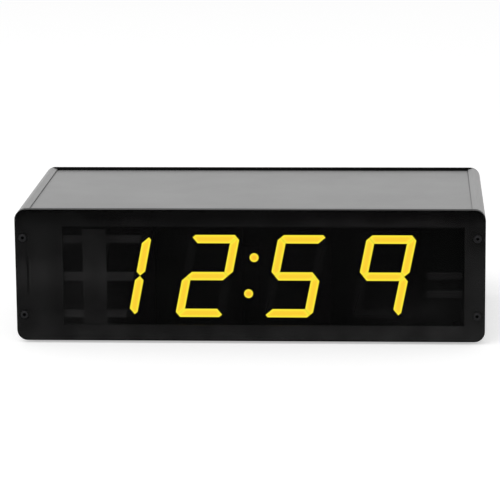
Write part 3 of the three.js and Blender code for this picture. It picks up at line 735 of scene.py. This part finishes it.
def windowFace(face):  # 0 for the face, 1 for the edges, 2 for the back
    low, high = nodeBox("front_window")
    if all(abs(vertex.co.y - low.y) < near for vertex in face.verts):
        return 0
    return 2 if all(abs(vertex.co.y - high.y) < frontLook["backReach"] for vertex in face.verts) else 1


def addFront():
    surface = nodeSurface("front_window")
    bevelEdges(surface, frontLook["windowBevel"])
    back = nodeBox("front_window")[1].y
    for vertex in surface.verts:  # a hair's gap, so that window and bezel don't flicker where they touch
        if abs(vertex.co.y - back) < near:
            vertex.co.y -= frontLook["backGap"]
    window = addPiece(
        "smoked_window", surface, smoke, ["front_window"], choose=windowFace,
    )
    window.visible_shadow = False  # the light behind it stays plain, and only the view is smoked
    window.visible_diffuse = False
    softened("bezel_plate", "front_bezel", frontLook["bezelBevel"], [bezel])
    softened("mask_plate", "left_mask", frontLook["maskBevel"], [paint])


# Case: rails, covers and rear panel.
caseLook = {"railBevel": 0.00025, "coverBevel": 0.0002, "panelBevel": 0.0002}


def addCase():
    for side in ("left", "right"):
        softened(f"rail_{side}", f"side_rail_{side}", caseLook["railBevel"], [railGrey])
    for place in ("top", "bottom"):
        softened(f"{place}_sheet", f"{place}_cover", caseLook["coverBevel"], [coverGrey])
    softened("back_panel", "rear_panel", caseLook["panelBevel"], [black])


# Digits: seven light bars each, with a lip that meets the next bar over the housing's thin wall. "heights"
# are those of the lip's foot, its rim, the face's rim and the face's middle in front of the housing.
digitLook = {
    "height": 0.0557,
    "width": 0.03275,
    "stroke": 0.00545,
    "cornerCut": 0.003,
    "gap": 0.0005,
    "lean": 0.2,
    "lip": 0.00022,
    "trim": 0.0001,
    "inset": 0.0018,
    "heights": (0.00001, 0.00004, 0.0001, 0.00016),
    "depth": 0.0025,
    "lipGlow": 0.04,
    "mitreGlow": 0.7,
    "mitres": (0, 4),
    "middleMitres": (0, 2, 3, 5),
    "core": 0.7,
    "shown": ("bc", "abged", "afgcd", "abcfg"),
    "dot": 0.0058,
    "dotSpacing": 0.0245,
    "dotLean": 0.00194,
    "dotSides": 40,
    "dotCore": 1.0,
    "housingBevel": 0.00012,
}


# Outlines of the bars a to g about the digit's middle, anticlockwise seen from the front.
def barOutlines():
    w, h = digitLook["width"] / 2, digitLook["height"] / 2
    t, cut = digitLook["stroke"], digitLook["cornerCut"]
    gap = digitLook["gap"] / math.sqrt(2)
    top = [
        (w - t - gap, h - t), (w - cut / 2 - gap, h - cut / 2), (w - cut - gap, h),
        (cut + gap - w, h), (cut / 2 + gap - w, h - cut / 2), (t + gap - w, h - t),
    ]
    upperRight = [
        (w - t, t / 2 + gap), (w - t / 2, gap), (w, t / 2 + gap),
        (w, h - cut - gap), (w - cut / 2, h - cut / 2 - gap), (w - t, h - t - gap),
    ]
    middle = [
        (w - t / 2 - gap, 0), (w - t - gap, t / 2), (t + gap - w, t / 2),
        (t / 2 + gap - w, 0), (t + gap - w, -t / 2), (w - t - gap, -t / 2),
    ]
    flipX = lambda points: [(-x, z) for x, z in reversed(points)]
    flipZ = lambda points: [(x, -z) for x, z in reversed(points)]
    bars = {
        "a": top,
        "b": upperRight,
        "c": flipZ(upperRight),
        "d": flipZ(top),
        "e": flipX(flipZ(upperRight)),
        "f": flipX(upperRight),
        "g": middle,
    }
    return {name: [(x + digitLook["lean"] * z, z) for x, z in points] for name, points in bars.items()}


# A convex outline with each edge moved outwards by the distance.
def grown(points, distance):
    edges = []
    for (x, z), (nextX, nextZ) in zip(points, points[1:] + points[:1]):
        length = math.hypot(nextX - x, nextZ - z)
        a, b = (nextZ - z) / length, (x - nextX) / length
        edges.append((a, b, a * x + b * z + distance))
    corners = []
    for (p, q, r), (a, b, c) in zip(edges[-1:] + edges[:-1], edges):
        scale = a * q - b * p
        corners.append(((c * q - b * r) / scale, (a * r - c * p) / scale))
    return corners


# One bar from rings of (outline, depth behind the housing's face, glow, glow at a mitre, core), rear ring
# first. The edges in mitres meet another bar, so the light hardly falls off there.
def addBar(surface, outline, place, number, core, mitres=()):
    look = digitLook
    foot, lip, rim, middle = look["heights"]
    rings = [
        (outline, look["depth"], 0.0, 0.0, 0.0),
        (outline, -foot, 0.0, 0.0, 0.0),
        (grown(outline, look["lip"]), -foot, 0.0, 0.0, 0.0),
        (grown(outline, look["lip"]), -lip, look["lipGlow"], look["mitreGlow"], 0.0),
        (grown(outline, -look["trim"]), -rim, 1.0, 1.0, 0.0),
        (grown(outline, -look["inset"]), -middle, 1.0, 1.0, core),
    ]
    glowLayer, coreLayer = surface.loops.layers.float["glow"], surface.loops.layers.float["core"]
    loops = []
    for ring in rings:
        loops.append([surface.verts.new((place.x + x, place.y + ring[1], place.z + z)) for x, z in ring[0]])
    front = surface.faces.new(loops[-1])
    for corner in front.loops:
        corner[glowLayer], corner[coreLayer] = 1.0, core
    faces = [surface.faces.new(reversed(loops[0])), front]
    for level in range(len(rings) - 1):
        inner, outer = loops[level], loops[level + 1]
        for index in range(len(inner)):
            after = (index + 1) % len(inner)
            face = surface.faces.new((inner[index], inner[after], outer[after], outer[index]))
            for corner, ring in zip(face.loops, (rings[level],) * 2 + (rings[level + 1],) * 2):
                corner[glowLayer] = ring[3] if index in mitres else ring[2]
                corner[coreLayer] = ring[4]
            faces.append(face)
    for face in faces:
        face.material_index = number


def housingCentre(node):
    low, high = nodeBox(node)
    return Vector(((low.x + high.x) / 2, low.y, (low.z + high.z) / 2))


def newBars():
    surface = bmesh.new()
    surface.loops.layers.float.new("glow")
    surface.loops.layers.float.new("core")
    return surface


def addDigits():
    look = digitLook
    bars = barOutlines()
    for index, shown in enumerate(look["shown"], start=1):
        surface = newBars()
        centre = housingCentre(f"digit_housing_{index}")
        for name, outline in bars.items():
            mitres = look["middleMitres"] if name == "g" else look["mitres"]
            number = 0 if name in shown else 1
            addBar(surface, outline, centre, number, look["core"], mitres)
        replaced = [f"digit_segments_{index}"]
        piece = addPiece(f"digit_{index}_bars", surface, [lit, dark], replaced)
        piece.visible_diffuse = False  # the bars glow without tinting the stage
        node = f"digit_housing_{index}"
        softened(f"digit_{index}_housing", node, look["housingBevel"], [housingBlack])


def addColon():
    look = digitLook
    surface = newBars()
    centre = housingCentre("colon_housing")
    reach = look["dot"] / 2
    for way in (-1, 1):
        middle = (way * look["dotLean"], way * look["dotSpacing"] / 2)
        circle = []
        for step in range(look["dotSides"]):
            angle = 2 * math.pi * step / look["dotSides"]
            circle.append((middle[0] + reach * math.cos(angle), middle[1] + reach * math.sin(angle)))
        addBar(surface, circle, centre, 0, look["dotCore"])
    piece = addPiece("colon_lights", surface, [lit], ["colon_dots"])
    piece.visible_diffuse = False
    softened("colon_block", "colon_housing", look["housingBevel"], [housingBlack])


# A modifier's node group with geometry in and out and the named inputs, as {name: socket type}.
def newGroup(name, inputs):
    group = bpy.data.node_groups.new(name, "GeometryNodeTree")
    group.interface.new_socket("Geometry", in_out="INPUT", socket_type="NodeSocketGeometry")
    group.interface.new_socket("Geometry", in_out="OUTPUT", socket_type="NodeSocketGeometry")
    for label, kind in inputs.items():
        group.interface.new_socket(label, in_out="INPUT", socket_type="NodeSocket" + kind)
    tree = NodeTree(group)
    entry = group.nodes.new("NodeGroupInput")
    sockets = {item.name: Socket(tree, item) for item in entry.outputs if item.name}
    return group, tree, sockets


# Runs a node group on a carrier mesh and gives the result as a plain mesh.
def runGroup(carrier, group, values):
    holder = bpy.data.objects.new(group.name + "_carrier", carrier)
    bpy.context.scene.collection.objects.link(holder)
    modifier = holder.modifiers.new(group.name, "NODES")
    modifier.node_group = group
    for item in group.interface.items_tree:
        if item.in_out == "INPUT" and item.name in values:
            modifier[item.identifier] = values[item.name]
    evaluated = holder.evaluated_get(bpy.context.evaluated_depsgraph_get())
    mesh = bpy.data.meshes.new_from_object(evaluated)
    holder.modifiers.clear()
    bpy.data.objects.remove(holder)
    return mesh


# Copies of a shape on the carrier's points, each turned by the point's "turn" and by chance about its axis.
def copiesGroup():
    inputs = {"Shape": "Object", "Twist": "Float", "Seed": "Int", "Finish": "Material"}
    group, tree, given = newGroup("placed_copies", inputs)
    shape = tree.node("GeometryNodeObjectInfo", {}, {"Object": given["Shape"]}, "Geometry")
    twist = tree.node(
        "FunctionNodeRandomValue", {"data_type": "FLOAT"},
        {2: 0.0, 3: given["Twist"], "Seed": given["Seed"]}, 1,
    )
    turn = tree.node("GeometryNodeInputNamedAttribute", {"data_type": "FLOAT"}, {"Name": "turn"})
    angles = tree.node("ShaderNodeCombineXYZ", {}, {"Y": twist, "Z": turn})
    rotation = tree.node("FunctionNodeEulerToRotation", {}, {0: angles})
    points = tree.node("GeometryNodeMeshToPoints", {}, {"Mesh": given["Geometry"]})
    placed = tree.node(
        "GeometryNodeInstanceOnPoints", {}, {"Points": points, "Instance": shape, "Rotation": rotation},
    )
    whole = tree.node("GeometryNodeRealizeInstances", {}, {"Geometry": placed})
    coated = tree.node("GeometryNodeSetMaterial", {}, {"Geometry": whole, "Material": given["Finish"]})
    tree.node("NodeGroupOutput", {}, {"Geometry": coated})
    return group


copies = {"group": copiesGroup(), "seed": 7}


def copiesOf(shape, carrier, finish, twist=0.0):
    sample = bpy.data.objects.new(shape.name + "_sample", shape)
    values = {"Shape": sample, "Twist": twist, "Seed": copies["seed"], "Finish": finish}
    mesh = runGroup(carrier, copies["group"], values)
    bpy.data.objects.remove(sample)
    return mesh


def pointCarrier(name, places, turn=0.0):
    mesh = bpy.data.meshes.new(name)
    mesh.from_pydata(places, [], [])
    turns = mesh.attributes.new("turn", "FLOAT", "POINT")
    for item in turns.data:
        item.value = turn
    return mesh


# A shape of rings about the Y axis, given as (radius, Y, share of hexagon), from one closed end to the
# other. The first hollowRings rings lie in a hollow.
def turnedShape(name, rings, hollowRings=0, sides=48):
    surface = bmesh.new()
    hollow = surface.verts.layers.float.new("hollow")
    half = math.pi / 6  # of a side of the hexagon
    loops = []
    for number, (radius, depth, hexShare) in enumerate(rings):
        loop = []
        for step in range(sides):
            angle = 2 * math.pi * step / sides
            corner = (angle + half) % (2 * half) - half
            flat = math.cos(half) / math.cos(abs(corner) - half)
            reach = radius * (1 + hexShare * (flat - 1))
            vertex = surface.verts.new((reach * math.cos(angle), depth, reach * math.sin(angle)))
            # marks the rings that get painted shade
            vertex[hollow] = 1.0 if number < hollowRings else 0.0
            loop.append(vertex)
        loops.append(loop)
    for before, behind in zip(loops, loops[1:]):
        for step in range(sides):
            after = (step + 1) % sides
            surface.faces.new((before[step], before[after], behind[after], behind[step]))
    for end in (loops[0], loops[-1]):
        surface.faces.new(end)
    bmesh.ops.recalc_face_normals(surface, faces=surface.faces)
    for face in surface.faces:
        face.smooth = True
    mesh = bpy.data.meshes.new(name)
    surface.to_mesh(mesh)
    surface.free()
    return mesh


# Button-head screws with a hexagon socket, four in front and four behind.
screwLook = {
    "head": 0.0027,
    "headHeight": 0.00165,
    "rim": 0.0005,
    "flat": 0.0017,
    "socket": 0.00115,
    "socketDepth": 0.001,
    "socketEdge": 0.00012,
    "edgeHexShare": 0.8,
    "domeSteps": 7,
    "edge": 0.0001,
    "shank": 0.0015,
    "pitch": 0.0007,
    "threadStart": 0.0006,
    "threadDepth": 0.0002,
    "plainLength": 0.001,
    "tipCuts": (0.0003, 0.0005),
}


def screwRings(length):
    look = screwLook
    top, edge, shank = -look["headHeight"], look["edge"], look["shank"]
    rings = [
        (look["socket"], top + look["socketDepth"], 1.0),
        (look["socket"], top + look["socketEdge"], 1.0),
        (look["socket"] + look["socketEdge"], top, look["edgeHexShare"]),
        (look["flat"] - edge, top, 0.0),
    ]
    reach, drop = look["head"] - look["flat"], look["headHeight"] - look["rim"]
    for step in range(look["domeSteps"] + 1):
        angle = math.pi / 2 * (1 - step / look["domeSteps"])
        rings.append((look["flat"] + reach * math.cos(angle), -look["rim"] - drop * math.sin(angle), 0.0))
    rings += [(look["head"], -edge, 0.0), (look["head"] - edge, 0.0, 0.0), (shank, 0.0, 0.0)]
    for turn in range(int((length - look["plainLength"]) / look["pitch"])):
        start = look["threadStart"] + turn * look["pitch"]
        rings += [(shank, start, 0.0), (shank - look["threadDepth"], start + look["pitch"] / 2, 0.0)]
    first, second = look["tipCuts"]
    rings += [(shank - first, length - edge, 0.0), (shank - second, length, 0.0)]
    return rings


def screwSeat(node, turn):
    low, high = nodeBox(node)
    seat = low.y + screwLook["headHeight"] if turn == 0 else high.y - screwLook["headHeight"]
    return Vector(((low.x + high.x) / 2, seat, (low.z + high.z) / 2))


def addScrews():
    for side, turn in (("front", 0.0), ("rear", math.pi)):
        names = [f"{side}_screw_{number}" for number in range(1, 5)]
        low, high = nodeBox(names[0])
        length = high.y - low.y - screwLook["headHeight"]
        shape = turnedShape(f"{side}_screw", screwRings(length), hollowRings=2)
        carrier = pointCarrier(f"{side}_seats", [screwSeat(name, turn) for name in names], turn)
        mesh = copiesOf(shape, carrier, screwSteel, 2 * math.pi)
        addMesh(f"{side}_screws", mesh, [screwSteel], names)


# Rubber feet: turned, with a rounded tread edge and a shallow ring groove underneath.
footLook = {
    "radius": 0.0064,
    "tread": 0.0057,
    "groove": 0.0034,
    "grooveDepth": 0.0005,
    "grooveSlope": 0.0004,
    "round": 0.0007,
    "roundShare": 0.3,
    "topRound": 0.0001,
}


def addFeet():
    look = footLook
    names = [f"foot_{number}" for number in range(1, 5)]
    low, high = nodeBox(names[0])
    height = high.z - low.z
    groove, slope, edge = look["groove"], look["grooveSlope"], look["round"]
    part = look["roundShare"] * edge
    rings = [
        (groove - 2 * slope, -height, 0.0),
        (groove - slope, look["grooveDepth"] - height, 0.0),
        (groove, look["grooveDepth"] - height, 0.0),
        (groove + slope, -height, 0.0),
        (look["tread"] - edge, -height, 0.0),
        (look["tread"] - part, part - height, 0.0),
        (look["tread"], edge - height, 0.0),
        (look["radius"], -edge, 0.0),
        (look["radius"] - look["topRound"], 0.0, 0.0),
    ]
    shape = turnedShape("foot", rings)
    shape.transform(Matrix.Rotation(math.pi / 2, 4, "X"))
    seats = []
    for name in names:
        low, high = nodeBox(name)
        seats.append(Vector(((low.x + high.x) / 2, (low.y + high.y) / 2, high.z)))
    mesh = copiesOf(shape, pointCarrier("foot_seats", seats), rubber)
    addMesh("rubber_feet", mesh, [rubber], names)


addFront()
addCase()
print("case and front made")
addDigits()
addColon()
print("digits made")
addScrews()
addFeet()
print("screws and feet made")


# Rear fittings keep the CAD's shapes, with softened edges and a material for each part of a fitting.
rearLook = {"metalBevel": 0.00015, "plasticBevel": 0.0002, "fineBevel": 0.0001}


def insideCase(face):  # 1 for what lies in front of the rear panel
    return 1 if face.calc_center_median().y < nodeBox("rear_panel")[0].y + near else 0


def onPointer(face):  # 1 for the raised line on the knob
    return 1 if face.calc_center_median().y > nodeBox("dimmer_knob")[1].y - near else 0


def addRear():
    metal, plastic, fine = (rearLook[key] for key in ("metalBevel", "plasticBevel", "fineBevel"))
    metalAndBlack, blackAndWhite = [nickel, mouldedBlack], [mouldedBlack, mouldedWhite]
    for name in ("timecode_in", "loop_out"):
        softened(f"{name}_shell", f"{name}_jack", metal, metalAndBlack, choose=insideCase)
        softened(f"{name}_core", f"{name}_contact", fine, [insulator])
        softened(f"{name}_hex_nut", f"{name}_nut", metal, [nickel])
    softened("power_socket", "power_jack", plastic, [mouldedBlack])
    softened("power_socket_pin", "power_jack_pin", fine, [nickel])
    softened("dimmer_pot", "dimmer_body", plastic, metalAndBlack, choose=insideCase)
    softened("dimmer_hex_nut", "dimmer_nut", metal, [nickel])
    softened("dimmer_grip", "dimmer_knob", fine, blackAndWhite, "dimmer_knob", onPointer)
    softened("switch_block", "mode_switch_body", fine, [mouldedBlack])
    for number in range(1, 5):
        node = f"mode_switch_lever_{number}"
        softened(f"switch_slider_{number}", node, fine, [mouldedWhite], node)


# Boards and what stands on them.
partLook = {
    "bevel": 0.00012,
    "chipPinReach": 0.0011,
    "chipStand": 0.0006,
    "regulatorLegs": 0.004,
    "regulatorTab": 0.006,
    "capacitorTop": 0.0043,
    "socketHeight": 0.007,
    "leadPitch": 0.00127,
    "leadReach": 0.0008,
    "leadWidth": 0.0005,
    "leadThickness": 0.00025,
    "leadRise": 0.0012,
    "leadBendShare": 0.4,
    "leadCount": 18,
}


def chipPart(face):  # 0 for the body, 1 for the pins
    low, high = nodeBox("controller_chip")
    place = face.calc_center_median()
    aside = min(place.y - low.y, high.y - place.y) < partLook["chipPinReach"] - near
    return 1 if aside or place.z < low.z + partLook["chipStand"] - near else 0


def regulatorPart(face):  # 0 for the body, 1 for the tab, the plate behind the body and the legs
    low, high = nodeBox("voltage_regulator")
    place = face.calc_center_median()
    bare = place.z < low.z + partLook["regulatorLegs"] - near
    bare = bare or place.z > high.z - partLook["regulatorTab"] + near or place.y < low.y + near
    return 1 if bare else 0


def capacitorPart(face):  # 0 for the sleeve, 1 for the bare end of the can
    low, high = nodeBox("smoothing_capacitor")
    place = face.calc_center_median()
    middle = (low + high) / 2
    aside = math.hypot(place.x - middle.x, place.y - middle.y)
    return 1 if place.z > high.z - near and aside < partLook["capacitorTop"] else 0


def ribbonPart(face):  # 0 for the cable, 1 for its two sockets
    place = face.calc_center_median()
    first = nodeBox("display_header")[1].y + partLook["socketHeight"]
    second = nodeBox("controller_header")[1].z + partLook["socketHeight"]
    return 1 if place.y < first + near or place.z < second + near else 0


# One pair of bent leads, above and below a network's body, about the middle of its seat on the board.
def leadPair(halfHeight):
    look = partLook
    inner, outer = halfHeight - look["leadReach"], halfHeight
    rise, thick = look["leadRise"], look["leadThickness"]
    bend = inner + look["leadBendShare"] * look["leadReach"]
    profile = [
        (inner, -rise), (bend, -rise), (bend + thick, -thick), (outer, -thick),
        (outer, 0.0), (bend, 0.0), (bend - thick / 2, thick - rise), (inner, thick - rise),
    ]
    surface = bmesh.new()
    for way in (-1, 1):
        sides = []
        for x in (-look["leadWidth"] / 2, look["leadWidth"] / 2):
            sides.append([surface.verts.new((x, y, way * z)) for z, y in profile])
        surface.faces.new(sides[0])
        surface.faces.new(reversed(sides[1]))
        for index in range(len(profile)):
            after = (index + 1) % len(profile)
            surface.faces.new((sides[0][index], sides[1][index], sides[1][after], sides[0][after]))
    bmesh.ops.recalc_face_normals(surface, faces=surface.faces)
    mesh = bpy.data.meshes.new("lead_pair")
    surface.to_mesh(mesh)
    surface.free()
    return mesh


def addNetworks():
    look = partLook
    for number in (1, 2):
        node = f"resistor_network_{number}"
        low, high = nodeBox(node)
        middle = (low + high) / 2
        surface = nodeSurface(node)
        for vertex in surface.verts:
            vertex.co.z -= math.copysign(look["leadReach"], vertex.co.z - middle.z)
        bevelEdges(surface, look["bevel"])
        addPiece(f"network_{number}_body", surface, [mouldedGrey], [node])
        first = middle.x - look["leadPitch"] * (look["leadCount"] - 1) / 2
        seats = [(first + look["leadPitch"] * step, high.y, middle.z) for step in range(look["leadCount"])]
        carrier = pointCarrier(f"lead_seats_{number}", seats)
        mesh = copiesOf(leadPair((high.z - low.z) / 2), carrier, leadTin)
        addMesh(f"network_{number}_leads", mesh, [leadTin], [node])


def coatNodes(material, *names):
    for name in names:
        mesh = nodes[name].data
        mesh.materials.clear()
        mesh.materials.append(material)


def addInside():
    bevel = partLook["bevel"]
    for name, node, body, other, choose in (
        ("chip", "controller_chip", mouldedBlack, tinned, chipPart),
        ("regulator", "voltage_regulator", mouldedBlack, tinned, regulatorPart),
        ("capacitor", "smoothing_capacitor", sleeve, tinned, capacitorPart),
    ):
        softened(name, node, bevel, [body, other], choose=choose)
    softened("ribbon", "ribbon_cable", bevel, [strands, mouldedBlack], choose=ribbonPart)
    softened("upright_header", "display_header", bevel, [mouldedBlack])
    softened("flat_header", "controller_header", bevel, [mouldedBlack])
    coatNodes(uprightBoard, "display_board")
    coatNodes(flatBoard, "controller_board")
    coatNodes(screwSteel, *(f"display_standoff_{number}" for number in range(1, 5)))


addRear()
addNetworks()
addInside()
print("rear fittings and boards made")


# Plain white stage: soft light from the sky and one wide lamp above.
stageLook = {
    "floorSize": 30.0,
    "floorColour": 0.8,
    "floorRoughness": 0.9,
    "floorLift": 0.42,
    "skyLight": 0.62,
    "lampPlace": (-0.7, -1.4, 2.4),
    "lampSize": 2.2,
    "lampPower": 26.0,
}


def seenDirectly(tree):  # 1 for what the camera, a reflection or a clear surface shows
    kinds = ("Is Camera Ray", "Is Glossy Ray", "Is Transmission Ray")
    camera, glossy, clear = (tree.node("ShaderNodeLightPath", output=kind) for kind in kinds)
    return camera.atLeast(glossy).atLeast(clear)


def addSky():
    world = bpy.data.worlds.new("studio")
    world.use_nodes = True
    bpy.context.scene.world = world
    tree = NodeTree(world.node_tree)
    level = stageLook["skyLight"] + (1 - stageLook["skyLight"]) * seenDirectly(tree)
    sky = tree.node("ShaderNodeBackground", {}, {"Color": grey(1), "Strength": level})
    tree.node("ShaderNodeOutputWorld", {}, {"Surface": sky})


def addFloor():
    look = stageLook
    material, tree = newMaterial("stage_floor")
    tree.finish({
        "Base Color": grey(look["floorColour"]),
        "Roughness": look["floorRoughness"],
        "Specular IOR Level": 0.0,
        "Emission Color": grey(1),
        "Emission Strength": look["floorLift"] * seenDirectly(tree),
    })
    half = look["floorSize"] / 2
    corners = [(-half, -half, 0), (half, -half, 0), (half, half, 0), (-half, half, 0)]
    mesh = bpy.data.meshes.new("floor")
    mesh.from_pydata(corners, [], [(0, 1, 2, 3)])
    mesh.materials.append(material)
    floor = bpy.data.objects.new("floor", mesh)
    bpy.context.scene.collection.objects.link(floor)


def addLamp():
    look = stageLook
    data = bpy.data.lights.new("softbox", "AREA")
    data.size = look["lampSize"]
    data.energy = look["lampPower"]
    lamp = bpy.data.objects.new("softbox", data)
    lamp.location = look["lampPlace"]
    lamp.rotation_euler = (-Vector(look["lampPlace"])).to_track_quat("-Z", "Y").to_euler()
    bpy.context.scene.collection.objects.link(lamp)


addSky()
addFloor()
addLamp()
bpy.context.scene.view_settings.view_transform = "Standard"
print("stage made")
